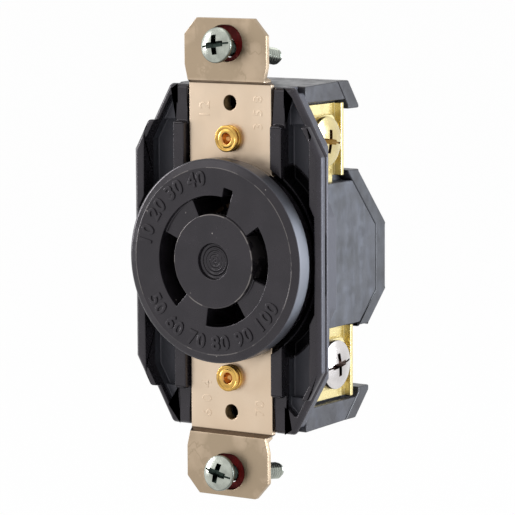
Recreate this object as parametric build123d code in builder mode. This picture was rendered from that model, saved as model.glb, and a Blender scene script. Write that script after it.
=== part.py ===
from build123d import *
from math import radians, sin, sqrt

# Locking receptacle on a steel mounting strap, for a wall box.
# X is to the right and Z is up, as the installer sees it, and Y runs back into the wall.
# The origin is the middle of the receptacle, on the front surface of the strap.

# Mounting strap
strap_thick = 1.2
strap_half_width = 9.525
strap_past_housing = 0.4
strap_jog_length = 0.5
ear_forward = 1.6
ear_half_length = 46.5
ear_half_width = 9.5
neck_half_width = 8.8
ear_neck_length = 3.0
ear_corner_width = 2.9
ear_corner_height = 3.2
ring_inset = 0.6
box_screw_spacing = 83.34
plate_screw_spacing = 60.3
box_slot_width = 8.0
box_slot_height = 7.0
plate_thread_r = 1.5
plate_screw_room = 10.5
collar_wall = 0.8
collar_length = 1.0

# Face that takes the plug
face_r = 19.8
face_out = 6.1
face_bevel_width = 1.3
face_bevel_depth = 0.5
face_undercut = 0.6
face_rim_back = 2.4
neck_r = 15.0
hub_r = 9.15
channel_r = 12.7
key_r = 14.6
bridge_sink = 1.0
recess_r = 3.5
recess_depth = 1.0
slots = {
    "top": (71, 115),
    "left": (157, 227),
    "bottom": (262, 302.5),
    "right": (-19, 35),
}
key_angles = (71, 80)
sunk_bridges = ((115, 157), (302.5, 341))

# Front housing
housing_side = 1.35
box_screw_room = 8.17
slant_height = 13.0
end_half_width = 14.4
end_corner_round = 1.2
wing_end = 7.2
flange_back = 1.4
pan_back = 4.1
pan_side_inset = 1.75
pan_slant_inset = 0.7
end_front = 0.15
end_edge_round = 0.6
wing_front = -1.9
wing_edge_round = 0.8
rib_front = -1.35
rib_inner = 10.0
rib_outer = 12.6
rib_corner_round = 0.6
trough_side = 2.55
trough_floor = 3.2
end_trough_floor = 2.0
trough_end_top = 4.1
trough_end_bottom = 5.6
trough_tip_top = 2.3
trough_tip_bottom = 3.8
rim_width = 1.5
moat_width = 1.9
moat_side = 1.45
moat_floor = 3.5
moat_wall = 1.0
collar_gap = 0.15
collar_edge = 0.45
collar_front = -0.3

# Terminal housing and rear cover
body_half_width = 14.7
block_half_height = 14.2
guard_thick_top = 3.3
guard_thick_bottom = 4.6
web_half_width = 12.2
wire_gap_half_width = 10.5
wire_gap_inner_top = 16.3
wire_gap_inner_bottom = 14.75
wire_gap_end_top = 5.2
wire_gap_end_bottom = 6.4
cover_thick = 3.9
cover_back = 33.5
hump_top = 4.7
hump_top_foot = 15.9
hump_bottom = -8.4
hump_bottom_foot = -14.7
shoulder_back_top = 23.4
shoulder_back_bottom = 27.0
guard_back_top = 19.6
guard_back_bottom = 22.1
guard_foot_top = 4.6
guard_foot_bottom = 5.4
guard_lift = 0.4
cover_edge_round = 0.35

# Terminals
terminal_room_top = 0.5
terminal_room_bottom = 0.45
terminal_y_top = 10.5
terminal_y_bottom = 13.8
terminal_half_height = 7.1
terminal_front = 6.2
terminal_back = 7.3
plate_thick = 1.0
plate_lip = 1.5
clamp_size = 9.9
clamp_thick = 1.0
clamp_corner = 1.5
terminal_head_r = 4.85
terminal_head_height = 2.2
terminal_head_taper = 5
terminal_shank_r = 2.35
terminal_shank_length = 8.4
tongue_y = (9.0, 16.0)
tongue_tip = 8.4

# Spring contacts in the terminal housing
cavity_inner_r = 8.0
cavity_outer_r = 13.5
cavity_back = 21.0
cavity_extra = 2.0
contact_thick = 0.7
contact_front = 4.6
leaf_outer_r = 13.4
leaf_inner_r = 10.0
tail_y = (11.0, 15.0)
tail_low = 6.0
tail_top = 13.2
tail_high = 12.3
tail_start = 3.0

# Screws, rivets and washers
rivet_room = 0.9
rivet_head_r = 2.6
rivet_groove_r = 2.15
rivet_shank_r = 1.6
rivet_bore_r = 1.0
rivet_head_height = 1.5
rivet_flange = 0.5
rivet_tail_height = 0.8
box_head_r = 3.45
box_head_height = 1.6
box_crown_height = 0.95
box_shank_r = 1.7
box_screw_length = 22.4
box_head_reach = 3.9
box_droop_top = 8.9
box_droop_bottom = 7.6
box_drop_top = 0.9
box_drop_bottom = 0.45
washer_r = 4.4
washer_thick = 0.8
body_screw_x = 5.5
body_screw_z = -1.6
body_screw_r = 1.45
body_screw_tip = -1.5
body_head_r = 2.8
body_head_height = 1.6
body_recess_r = 3.3
body_recess_depth = 2.4
ground_clip_z = (25.4, 28.2)
ground_clip_x = 7.6
ground_clip_back = 7.6
ground_clip_thick = 0.7

# Clearances between pieces
slide_gap = 0.3
screw_gap = 0.25
hole_gap = 0.1
cut_past = 1.0

# Half heights that leave room for the box screws
housing_half_height = box_screw_spacing / 2 - box_screw_room
strap_middle_half = housing_half_height + strap_past_housing
side_edge_half = housing_half_height - slant_height
wing_half_height = housing_half_height - wing_end

# Sizes at the top of the receptacle and at its bottom
shoulder_back = {1: shoulder_back_top, -1: shoulder_back_bottom}
guard_back = {1: guard_back_top, -1: guard_back_bottom}
guard_foot = {1: housing_half_height - guard_foot_top, -1: housing_half_height - guard_foot_bottom}
guard_inner = {1: housing_half_height - guard_thick_top, -1: housing_half_height - guard_thick_bottom}
wire_gap_inner = {1: wire_gap_inner_top, -1: wire_gap_inner_bottom}
wire_gap_outer = {1: housing_half_height - wire_gap_end_top, -1: housing_half_height - wire_gap_end_bottom}
trough_end = {1: housing_half_height - trough_end_top, -1: housing_half_height - trough_end_bottom}
trough_tip = {1: housing_half_height - trough_tip_top, -1: housing_half_height - trough_tip_bottom}
terminal_z = {
    1: guard_inner[1] - terminal_room_top - terminal_half_height,
    -1: terminal_half_height + terminal_room_bottom - guard_inner[-1],
}
terminal_y = {1: terminal_y_top, -1: terminal_y_bottom}
box_droop = {1: box_droop_top, -1: box_droop_bottom}
box_drop = {1: box_drop_top, -1: box_drop_bottom}

# Places that follow from the sizes above
ring_outer_r = face_r - ring_inset
collar_bore_r = face_r + collar_gap
collar_r = collar_bore_r + collar_edge
moat_r = collar_r + moat_width
housing_half_width = collar_r + housing_side
moat_half_width = housing_half_width - moat_side
trough_outer = housing_half_width - trough_side
rivet_spacing = 2 * (face_r + rivet_room + rivet_head_r)
ear_front = -ear_forward
box_head_front = ear_front - box_head_reach
ear_back = strap_thick - ear_forward
bore_r = neck_r + slide_gap
plate_face = web_half_width + plate_thick
chamfer_slope = (housing_half_width - end_half_width) / (housing_half_height - side_edge_half)
box_crown_r = (box_head_r**2 + box_crown_height**2) / (2 * box_crown_height)
rib_width = rib_outer - rib_inner
sides = {"right": 1, "left": -1}
levels = {"upper": 1, "lower": -1}


def from_front(y):
    """The drawing plane seen from the front at depth y: its extrusions run forward."""
    return Plane.XZ.offset(-y)


def from_right(x):
    """The drawing plane seen from the right at x: it draws Y across and Z up."""
    return Plane.YZ.offset(x)


def bar(x, y, z, mode=Mode.ADD):
    """A rectangular bar given by its ranges along X, Y and Z."""
    with Locations(((x[0] + x[1]) / 2, (y[0] + y[1]) / 2, (z[0] + z[1]) / 2)):
        Box(abs(x[1] - x[0]), abs(y[1] - y[0]), abs(z[1] - z[0]), mode=mode)


def sector(inner, outer, start, end):
    """A ring sector between two radii and two angles, counted from +X."""
    with BuildSketch() as shape:
        with BuildLine():
            inside = CenterArc((0, 0), inner, start, end - start)
            outside = CenterArc((0, 0), outer, start, end - start)
            Line(inside @ 0, outside @ 0)
            Line(inside @ 1, outside @ 1)
        make_face()
    return shape.sketch


def four_way(points):
    """A face drawn as one quarter and mirrored across both axes."""
    with BuildSketch() as shape:
        with BuildLine():
            Polyline(*points, close=True)
        make_face()
        mirror(about=Plane.YZ)
        mirror(about=Plane.XZ)
    return shape.sketch


def chamfer_x(z, inset=0.0):
    """Half width of the front housing at height z on its slanted corner."""
    return housing_half_width - inset - chamfer_slope * (z - side_edge_half)


def trough(level, end, tip):
    """The outline of the two troughs above or below the face, between rib and rim."""
    tip_x = chamfer_x(tip, rim_width)
    corner = side_edge_half + (trough_side - rim_width) / chamfer_slope
    with BuildSketch() as shape:
        with BuildLine():
            Polyline(
                (rib_outer, 0),
                (rib_outer, level * end),
                (max(tip_x - end_edge_round, rib_outer), level * tip),
                (tip_x, level * tip),
                (trough_outer, level * corner),
                (trough_outer, 0),
                close=True,
            )
        make_face()
        mirror(about=Plane.YZ)
    return shape.sketch


def clipped_circle(radius, half_width):
    """A disc cut off at the same distance on its left and right."""
    with BuildSketch() as shape:
        Circle(radius)
        Rectangle(2 * half_width, 2 * radius, mode=Mode.INTERSECT)
    return shape.sketch


def octagon(side_inset=0.0, slant_inset=0.0, height=housing_half_height):
    """The front housing's outline, moved inward and cut off at the given half height."""
    side = housing_half_width - side_inset
    knee = side_edge_half + (side_inset - slant_inset) / chamfer_slope
    return four_way([(0, 0), (side, 0), (side, knee), (chamfer_x(height, slant_inset), height), (0, height)])


def back_profile(shift):
    """Y and Z points down the back of the housing, moved forward by shift."""
    return [
        (guard_back[1] - shift, housing_half_height + guard_lift),
        (shoulder_back[1] - shift, guard_foot[1]),
        (shoulder_back[1] - shift, hump_top_foot),
        (cover_back - shift, hump_top),
        (cover_back - shift, hump_bottom),
        (shoulder_back[-1] - shift, hump_bottom_foot),
        (shoulder_back[-1] - shift, -guard_foot[-1]),
        (guard_back[-1] - shift, guard_lift - housing_half_height),
    ]


# Mounting strap: one bent strip with a ring at its middle
with BuildPart() as mounting_strap:
    jog_end = strap_middle_half + strap_jog_length
    # The back of the jog lies so that the strip keeps its thickness
    jog_across = sqrt(ear_forward**2 + strap_jog_length**2)
    jog_back = strap_thick * (jog_across - strap_jog_length) / ear_forward
    with BuildSketch(from_right(0)):
        with BuildLine():
            Polyline(
                (0, 0),
                (0, strap_middle_half),
                (ear_front, jog_end),
                (ear_front, ear_half_length),
                (ear_back, ear_half_length),
                (ear_back, jog_end + jog_back),
                (strap_thick, strap_middle_half + jog_back),
                (strap_thick, 0),
                close=True,
            )
        make_face()
        mirror(about=Plane.XZ)
    extrude(amount=ring_outer_r, both=True)
    with BuildSketch(from_front(strap_thick + cut_past)):
        ear_start = jog_end + ear_neck_length
        add(
            four_way(
                [
                    (0, 0),
                    (strap_half_width, 0),
                    (strap_half_width, strap_middle_half),
                    (neck_half_width, jog_end),
                    (ear_half_width, ear_start),
                    (ear_half_width, ear_half_length - ear_corner_height),
                    (ear_half_width - ear_corner_width, ear_half_length),
                    (0, ear_half_length),
                ]
            )
        )
        Circle(ring_outer_r)
        Circle(bore_r, mode=Mode.SUBTRACT)
        with Locations((0, box_screw_spacing / 2), (0, -box_screw_spacing / 2)):
            SlotOverall(box_slot_width, box_slot_height, mode=Mode.SUBTRACT)
        with Locations((0, rivet_spacing / 2), (0, -rivet_spacing / 2)):
            Circle(rivet_shank_r + hole_gap, mode=Mode.SUBTRACT)
        with Locations((0, plate_screw_spacing / 2), (0, -plate_screw_spacing / 2)):
            Circle(plate_thread_r, mode=Mode.SUBTRACT)
    extrude(amount=strap_thick + 2 * cut_past + ear_forward, mode=Mode.INTERSECT)
    with BuildSketch(from_front(strap_thick + collar_length)):
        with Locations((0, plate_screw_spacing / 2), (0, -plate_screw_spacing / 2)):
            Circle(plate_thread_r + collar_wall)
            Circle(plate_thread_r, mode=Mode.SUBTRACT)
    extrude(amount=collar_length)
mounting_strap.part.label = "mounting_strap"
export_step(mounting_strap.part, "parts/mounting_strap.step")

# Face: a turned disc with a neck that passes through the strap's ring
with BuildPart() as face:
    with BuildSketch(Plane.XY):
        with BuildLine():
            Polyline(
                (0, -face_out),
                (face_r - face_bevel_width, -face_out),
                (face_r, face_bevel_depth - face_out),
                (face_r, -face_rim_back),
                (face_r - face_undercut, -face_rim_back),
                (face_r - face_undercut, 0),
                (neck_r, 0),
                (neck_r, pan_back),
                (0, pan_back),
                close=True,
            )
        make_face()
    revolve(axis=Axis.Y)
    with BuildSketch(from_front(pan_back + cut_past)):
        for start, end in slots.values():
            add(sector(hub_r, channel_r, start, end))
        add(sector(hub_r, key_r, *key_angles))
    extrude(amount=face_out + pan_back + 2 * cut_past, mode=Mode.SUBTRACT)
    with BuildSketch(from_front(bridge_sink - face_out)):
        for start, end in sunk_bridges:
            add(sector(hub_r, channel_r, start, end))
    extrude(amount=bridge_sink + cut_past, mode=Mode.SUBTRACT)
    with BuildSketch(from_front(recess_depth - face_out)):
        Circle(recess_r)
    extrude(amount=recess_depth + cut_past, mode=Mode.SUBTRACT)
    with BuildSketch(from_front(pan_back + cut_past)):
        with Locations((body_screw_x, body_screw_z), (-body_screw_x, body_screw_z)):
            Circle(body_screw_r + hole_gap)
    extrude(amount=pan_back + cut_past - body_screw_tip + hole_gap, mode=Mode.SUBTRACT)
face.part.label = "face"
export_step(face.part, "parts/face.step")

# Front housing: an eight-sided tray with raised side wings
with BuildPart() as front_housing:
    with BuildSketch(from_front(flange_back)):
        add(octagon())
    extrude(amount=flange_back - end_front)
    end_corners = front_housing.edges().filter_by(Axis.Y).group_by(Axis.Z)
    fillet(end_corners[0] + end_corners[-1], radius=end_corner_round)
    chamfer(front_housing.edges().group_by(Axis.Y)[0], length=end_edge_round)
    with BuildSketch(from_front(pan_back)):
        add(octagon(pan_side_inset, pan_slant_inset, housing_half_height - end_corner_round))
        Rectangle(2 * (end_half_width - end_corner_round), 2 * housing_half_height)
        add(clipped_circle(moat_r + moat_wall, housing_half_width))
    extrude(amount=pan_back - flange_back)
    with BuildSketch(from_front(end_front)):
        add(octagon(height=wing_half_height))
    extrude(amount=end_front - wing_front)
    outer_edges = front_housing.edges().group_by(Axis.Y)[0]
    chamfer(outer_edges, length=wing_edge_round)
    # The ribs stand lower than the rims
    with BuildSketch(from_front(rib_front)):
        Rectangle(2 * trough_outer, 2 * wing_half_height + cut_past)
    extrude(amount=rib_front - wing_front + cut_past, mode=Mode.SUBTRACT)
    # Troughs between rib and rim, with a deeper floor in the wings
    for level in levels.values():
        with BuildSketch(from_front(end_trough_floor)):
            add(trough(level, trough_end[level], trough_tip[level]))
        extrude(amount=end_trough_floor - wing_front + cut_past, mode=Mode.SUBTRACT)
        with BuildSketch(from_front(trough_floor)):
            add(trough(level, wing_half_height, wing_half_height))
        extrude(amount=trough_floor - wing_front + cut_past, mode=Mode.SUBTRACT)
    # Each rib stands on the end plate with rounded corners
    rib_middle = (rib_inner + rib_outer) / 2
    with BuildSketch(from_front(end_front)):
        Rectangle(2 * rib_outer, 2 * wing_half_height)
        with Locations((rib_middle, 0), (-rib_middle, 0)):
            RectangleRounded(rib_width, 2 * wing_half_height, rib_corner_round, mode=Mode.SUBTRACT)
        Rectangle(2 * rib_outer, 2 * (wing_half_height - rib_width), mode=Mode.SUBTRACT)
        Rectangle(2 * rib_inner, 2 * wing_half_height, mode=Mode.SUBTRACT)
    extrude(amount=end_front - wing_front + cut_past, mode=Mode.SUBTRACT)
    # Moat around the face, then the collar and the seat inside it
    with BuildSketch(from_front(moat_floor)):
        add(clipped_circle(moat_r, moat_half_width))
        Rectangle(2 * rib_outer, 2 * moat_r, mode=Mode.SUBTRACT)
    extrude(amount=moat_floor - wing_front + cut_past, mode=Mode.SUBTRACT)
    with BuildSketch(from_front(collar_front)):
        Circle(collar_r)
    extrude(amount=collar_front - wing_front + cut_past, mode=Mode.SUBTRACT)
    with BuildSketch(from_front(pan_back)):
        add(clipped_circle(collar_r, moat_half_width))
    extrude(amount=pan_back - collar_front)
    with BuildSketch(from_front(strap_thick)):
        Circle(collar_bore_r)
        Rectangle(2 * rib_inner, 2 * strap_middle_half)
    extrude(amount=strap_thick - wing_front + cut_past, mode=Mode.SUBTRACT)
    with BuildSketch(from_front(pan_back + cut_past)):
        Circle(bore_r)
        with Locations((0, rivet_spacing / 2), (0, -rivet_spacing / 2)):
            Circle(rivet_shank_r + hole_gap)
        with Locations((0, plate_screw_spacing / 2), (0, -plate_screw_spacing / 2)):
            Circle(plate_thread_r + collar_wall + slide_gap)
        with Locations((-ground_clip_x - ground_clip_thick / 2, sum(ground_clip_z) / 2)):
            Rectangle(ground_clip_thick + 2 * hole_gap, ground_clip_z[1] - ground_clip_z[0] + 2 * hole_gap)
    extrude(amount=pan_back + 2 * cut_past, mode=Mode.SUBTRACT)
front_housing.part.label = "front_housing"
export_step(front_housing.part, "parts/front_housing.step")

# Terminal housing: the block that holds the contacts, with a guard at each end
with BuildPart() as terminal_housing:
    with BuildSketch(from_right(-body_half_width)):
        with BuildLine():
            Polyline(
                (pan_back, housing_half_height),
                *back_profile(cover_thick),
                (pan_back, -housing_half_height),
                close=True,
            )
        make_face()
    extrude(amount=2 * body_half_width)
    for side in sides.values():
        for level in levels.values():
            bar(
                (side * web_half_width, side * (body_half_width + cut_past)),
                (pan_back - cut_past, cover_back),
                (level * block_half_height, level * guard_inner[level]),
                mode=Mode.SUBTRACT,
            )
            bar(
                (side * web_half_width, side * plate_face),
                (pan_back - cut_past, tongue_y[1]),
                (level * tongue_tip, level * (block_half_height + cut_past)),
                mode=Mode.SUBTRACT,
            )
    with BuildSketch(from_front(cavity_back)):
        for start, end in slots.values():
            add(sector(cavity_inner_r, cavity_outer_r, start - cavity_extra, end + cavity_extra))
        add(sector(cavity_inner_r, key_r, key_angles[0] - cavity_extra, key_angles[1] + cavity_extra))
    extrude(amount=cavity_back - pan_back + cut_past, mode=Mode.SUBTRACT)
    for side in sides.values():
        bar(
            (side * (web_half_width - contact_thick - hole_gap), side * web_half_width),
            (pan_back - cut_past, tail_y[1]),
            (side * tail_low, side * (tail_top + hole_gap)),
            mode=Mode.SUBTRACT,
        )
        bar(
            (-side * web_half_width, -side * tail_start),
            (pan_back - cut_past, tail_y[1]),
            (side * tail_high, side * (tail_high + contact_thick + hole_gap)),
            mode=Mode.SUBTRACT,
        )
    bar(
        (-web_half_width, -ground_clip_x + hole_gap),
        (pan_back - cut_past, ground_clip_back),
        (ground_clip_z[0] - hole_gap, ground_clip_z[1] + hole_gap),
        mode=Mode.SUBTRACT,
    )
    with BuildSketch(from_front(cover_back)):
        with Locations((0, rivet_spacing / 2), (0, -rivet_spacing / 2)):
            Circle(rivet_shank_r + hole_gap)
        with Locations((body_screw_x, body_screw_z), (-body_screw_x, body_screw_z)):
            Circle(body_screw_r + hole_gap)
    extrude(amount=cover_back - pan_back + cut_past, mode=Mode.SUBTRACT)
    with BuildSketch(from_front(plate_screw_room)):
        with Locations((0, plate_screw_spacing / 2), (0, -plate_screw_spacing / 2)):
            Circle(plate_thread_r + collar_wall + slide_gap)
    extrude(amount=plate_screw_room - pan_back + cut_past, mode=Mode.SUBTRACT)
    for level in levels.values():
        with BuildSketch(from_right(-body_half_width)):
            with Locations((terminal_y[level], terminal_z[level])):
                Circle(terminal_shank_r + screw_gap)
        extrude(amount=2 * body_half_width, mode=Mode.SUBTRACT)
terminal_housing.part.label = "terminal_housing"
export_step(terminal_housing.part, "parts/terminal_housing.step")

# Rear cover: a shell of even thickness with a gap for each wire
with BuildPart() as rear_cover:
    with BuildSketch(from_right(-body_half_width)):
        with BuildLine():
            Polyline(*back_profile(0), *reversed(back_profile(cover_thick)), close=True)
        make_face()
    extrude(amount=2 * body_half_width)
    chamfer(rear_cover.edges().group_by(Axis.Y)[-1], length=cover_edge_round)
    for side in sides.values():
        for level in levels.values():
            bar(
                (side * wire_gap_half_width, side * (body_half_width + cut_past)),
                (guard_back[1] - 2 * cover_thick, cover_back),
                (level * wire_gap_inner[level], level * wire_gap_outer[level]),
                mode=Mode.SUBTRACT,
            )
    with BuildSketch(from_front(cover_back + cut_past)):
        with Locations((0, rivet_spacing / 2), (0, -rivet_spacing / 2)):
            Circle(rivet_shank_r + hole_gap)
        with Locations((body_screw_x, body_screw_z), (-body_screw_x, body_screw_z)):
            Circle(body_screw_r + hole_gap)
    extrude(amount=cover_back, mode=Mode.SUBTRACT)
    with BuildSketch(from_front(cover_back + cut_past)):
        with Locations((body_screw_x, body_screw_z), (-body_screw_x, body_screw_z)):
            Circle(body_recess_r)
    extrude(amount=body_recess_depth + cut_past, mode=Mode.SUBTRACT)
rear_cover.part.label = "rear_cover"
export_step(rear_cover.part, "parts/rear_cover.step")

# Tubular rivets through the strap, both housings and the cover
for level_name, level in {"top": 1, "bottom": -1}.items():
    rivet_back = shoulder_back[level]
    with BuildPart() as rivet:
        with BuildSketch(Plane.XY):
            with BuildLine():
                Polyline(
                    (rivet_bore_r, -rivet_head_height),
                    (rivet_head_r, -rivet_head_height),
                    (rivet_head_r, rivet_flange - rivet_head_height),
                    (rivet_groove_r, rivet_flange - rivet_head_height),
                    (rivet_groove_r, -rivet_flange),
                    (rivet_head_r, -rivet_flange),
                    (rivet_head_r, 0),
                    (rivet_shank_r, 0),
                    (rivet_shank_r, rivet_back),
                    (rivet_head_r, rivet_back),
                    (rivet_head_r, rivet_back + rivet_tail_height),
                    (rivet_bore_r, rivet_back + rivet_tail_height),
                    close=True,
                )
            make_face()
        revolve(axis=Axis.Y)
    placed = rivet.part.moved(Location((0, 0, level * rivet_spacing / 2)))
    placed.label = f"rivet_{level_name}"
    export_step(placed, f"parts/rivet_{level_name}.step")

# Box screws: they hang a little in their slots, held by fibre washers
for level_name, level in {"top": 1, "bottom": -1}.items():
    with BuildPart() as box_screw:
        with BuildSketch(Plane.XY):
            with BuildLine():
                Line((0, 0), (0, box_screw_length))
                Line((0, box_screw_length), (box_shank_r, box_screw_length))
                Line((box_shank_r, box_screw_length), (box_shank_r, box_head_height))
                Line((box_shank_r, box_head_height), (box_head_r, box_head_height))
                Line((box_head_r, box_head_height), (box_head_r, box_crown_height))
                ThreePointArc(
                    (box_head_r, box_crown_height),
                    (box_head_r / 2, box_crown_r - sqrt(box_crown_r**2 - box_head_r**2 / 4)),
                    (0, 0),
                )
            make_face()
        revolve(axis=Axis.Y)
    pivot = level * box_screw_spacing / 2 - box_drop[level]
    head_z = pivot - box_head_front * sin(radians(box_droop[level]))
    placed = box_screw.part.rotate(Axis.X, -box_droop[level])
    placed = placed.moved(Location((0, box_head_front, head_z)))
    placed.label = f"box_screw_{level_name}"
    export_step(placed, f"parts/box_screw_{level_name}.step")

    with BuildPart() as fibre_washer:
        with BuildSketch(from_front(ear_back + washer_thick)):
            with Locations((0, pivot)):
                Circle(washer_r)
                Circle(box_shank_r + screw_gap, mode=Mode.SUBTRACT)
        extrude(amount=washer_thick)
    fibre_washer.part.label = f"fibre_washer_{level_name}"
    export_step(fibre_washer.part, f"parts/fibre_washer_{level_name}.step")

# Terminals: a plate, a clamp and a screw at each corner of the housing
for level_name, level in levels.items():
    middle = (terminal_y[level], terminal_z[level])
    back = terminal_y[level] + terminal_back
    for side_name, side in sides.items():
        corner = f"{level_name}_{side_name}"
        with BuildPart() as terminal_plate:
            bar(
                (side * web_half_width, side * plate_face),
                (terminal_y[level] - terminal_front, back),
                (terminal_z[level] - terminal_half_height, terminal_z[level] + terminal_half_height),
            )
            bar(
                (side * plate_face, side * (plate_face + plate_lip)),
                (back - plate_thick, back),
                (terminal_z[level] - terminal_half_height, terminal_z[level] + terminal_half_height),
            )
            bar(
                (side * web_half_width, side * plate_face),
                tongue_y,
                (level * tongue_tip, terminal_z[level]),
            )
            with BuildSketch(from_right(-plate_face)):
                with Locations(middle):
                    Circle(terminal_shank_r + hole_gap)
            extrude(amount=2 * plate_face, mode=Mode.SUBTRACT)
        terminal_plate.part.label = f"terminal_plate_{corner}"
        export_step(terminal_plate.part, f"parts/terminal_plate_{corner}.step")

        with BuildPart() as clamp:
            with BuildSketch(from_right(side * plate_face)):
                with Locations(middle):
                    RectangleRounded(clamp_size, clamp_size, clamp_corner)
                    Circle(terminal_shank_r + hole_gap, mode=Mode.SUBTRACT)
            extrude(amount=side * clamp_thick)
        clamp.part.label = f"clamp_{corner}"
        export_step(clamp.part, f"parts/clamp_{corner}.step")

        with BuildPart() as terminal_screw:
            under_head = plate_face + clamp_thick
            with BuildSketch(from_right(side * under_head)):
                with Locations(middle):
                    Circle(terminal_head_r)
            extrude(amount=side * terminal_head_height, taper=terminal_head_taper)
            with BuildSketch(from_right(side * under_head)):
                with Locations(middle):
                    Circle(terminal_shank_r)
            extrude(amount=-side * terminal_shank_length)
        terminal_screw.part.label = f"terminal_screw_{corner}"
        export_step(terminal_screw.part, f"parts/terminal_screw_{corner}.step")

# Spring contacts: two curved leaves behind each slot, with a tail to its terminal
tails = {
    "right": ((web_half_width - contact_thick, web_half_width), (tail_low, tail_top)),
    "left": ((-web_half_width, contact_thick - web_half_width), (-tail_top, -tail_low)),
    "top": ((-web_half_width, -tail_start), (tail_high, tail_high + contact_thick)),
    "bottom": ((tail_start, web_half_width), (-tail_high - contact_thick, -tail_high)),
}
for slot_name, (start, end) in slots.items():
    half = (start + end) / 2
    with BuildPart() as contact:
        with BuildSketch(from_front(cavity_back)):
            add(sector(leaf_outer_r - contact_thick, leaf_outer_r, start, end))
        extrude(amount=cavity_back - contact_front)
        with BuildSketch(from_front(cavity_back)):
            add(sector(leaf_inner_r, leaf_inner_r + contact_thick, half, end))
        extrude(amount=cavity_back - contact_front)
        with BuildSketch(from_front(cavity_back)):
            add(sector(leaf_inner_r, leaf_outer_r, half, end))
        extrude(amount=contact_thick)
        tail_x, tail_z = tails[slot_name]
        bar(tail_x, tail_y, tail_z)
    contact.part.label = f"contact_{slot_name}"
    export_step(contact.part, f"parts/contact_{slot_name}.step")

# Ground clip: a bent strip from the back of the strap to the upper left terminal
with BuildPart() as ground_clip:
    bar(
        (-ground_clip_x - ground_clip_thick, -ground_clip_x),
        (strap_thick, ground_clip_back),
        ground_clip_z,
    )
    bar(
        (-web_half_width, -ground_clip_x),
        (ground_clip_back - ground_clip_thick, ground_clip_back),
        ground_clip_z,
    )
ground_clip.part.label = "ground_clip"
export_step(ground_clip.part, "parts/ground_clip.step")

# Body screws: they pull the cover and the terminal housing up to the face
for side_name, side in sides.items():
    seat = cover_back - body_recess_depth
    with BuildPart() as body_screw:
        with BuildSketch(Plane.XY):
            with BuildLine():
                Polyline(
                    (0, body_screw_tip),
                    (body_screw_r, body_screw_tip + body_screw_r),
                    (body_screw_r, seat),
                    (body_head_r, seat),
                    (body_head_r, seat + body_head_height),
                    (0, seat + body_head_height),
                    close=True,
                )
            make_face()
        revolve(axis=Axis.Y)
    placed = body_screw.part.moved(Location((side * body_screw_x, 0, body_screw_z)))
    placed.label = f"body_screw_{side_name}"
    export_step(placed, f"parts/body_screw_{side_name}.step")
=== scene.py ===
import math
from collections import namedtuple

import bmesh
import bpy
from mathutils import Matrix, Vector


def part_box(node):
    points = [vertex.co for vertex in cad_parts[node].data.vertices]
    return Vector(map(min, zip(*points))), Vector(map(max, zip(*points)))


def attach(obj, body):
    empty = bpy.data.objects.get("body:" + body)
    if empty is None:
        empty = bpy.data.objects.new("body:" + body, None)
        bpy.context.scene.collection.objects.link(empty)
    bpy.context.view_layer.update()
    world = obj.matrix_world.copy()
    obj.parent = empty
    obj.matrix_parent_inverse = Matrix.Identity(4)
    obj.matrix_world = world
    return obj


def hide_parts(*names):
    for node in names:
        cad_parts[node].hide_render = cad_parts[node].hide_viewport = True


bl_info = {
    "name": "Locking Receptacle",
    "version": (1, 0, 0),
    "blender": (4, 5, 0),
    "location": "View3D > Sidebar > Receptacle",
    "description": "Dresses the solids of a locking receptacle on its mounting strap",
    "category": "Add Mesh",
}

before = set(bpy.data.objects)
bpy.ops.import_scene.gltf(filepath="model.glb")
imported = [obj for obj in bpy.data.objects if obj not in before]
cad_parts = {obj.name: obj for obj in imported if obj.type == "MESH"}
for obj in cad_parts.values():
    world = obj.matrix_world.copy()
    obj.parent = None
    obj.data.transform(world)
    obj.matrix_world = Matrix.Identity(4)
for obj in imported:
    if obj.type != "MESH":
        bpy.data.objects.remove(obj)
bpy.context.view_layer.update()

MM = 0.001

# Blade slots in the face, as spans of degrees counted from the right
BLADE_SLOTS = ((71.0, 115.0), (157.0, 227.0), (262.0, 302.5), (-19.0, 35.0))
KEY_SLOT = (71.0, 80.0)
SUNK_BRIDGES = ((115.0, 157.0), (302.5, 341.0))
FLUSH_GROOVE = (35.0, 71.0)

# Places on the solids that materials and fasteners share, in metres from the middle of the device
BARREL_R = 0.0196  # the face's round side starts
HUB_HIGHLIGHT_R = 0.00903  # painted highlight line along the hub's edge
BEAD_R = 0.01812  # bead near the face's rim
NUMBERS_R = 0.01595  # middle of the face's numbers
MOAT_R = 0.0222  # outer wall of the moat round the face
MOAT_FLOOR = 0.0036  # depth at which the moat ends
DRUM_R = 0.0226  # round outer wall of the front housing
SIDE_X = 0.02155  # flat sides of the front housing
EAR_X = 0.0095  # sides of the strap's ears
EAR_Z = 0.0465  # ends of the strap's ears
BEND_Z = 0.0341  # bends of the strap
BOX_SCREW_Z = 0.04167
PLATE_SCREW_Z = 0.03015
RIVET_Z = 0.0233

FACE_EDGE = 0.2 * MM

# Colours of wear and dirt, of painted shade and painted highlights, and the tint of the glossy plastic
DUST = (0.20, 0.20, 0.21)
SHADE_COLOUR = (0.03, 0.028, 0.025)
FACE_FLECKS_AND_HIGHLIGHTS = (0.55, 0.50, 0.46)
BARREL_HIGHLIGHT = (0.15, 0.157, 0.176)
MOAT_SHADE = (0.002, 0.002, 0.0025)
BODY_STREAKS = (0.115, 0.124, 0.155)
STRAP_SHEEN = (0.80, 0.67, 0.53)
SLOT_SHADOW = (0.07, 0.045, 0.035)
BEND_SHADOW = (0.05, 0.03, 0.02)
DARK_BEHIND = (0.004, 0.004, 0.004)
PLATE_HOLE = (0.10, 0.066, 0.032)
RIVET_GROOVE = (0.20, 0.09, 0.02)
RIVET_BORE = (0.58, 0.29, 0.10)
GLOSS_TINT = (0.98, 0.93, 1.0, 1.0)
WHITE = (1.0, 1.0, 1.0, 1.0)

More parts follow.
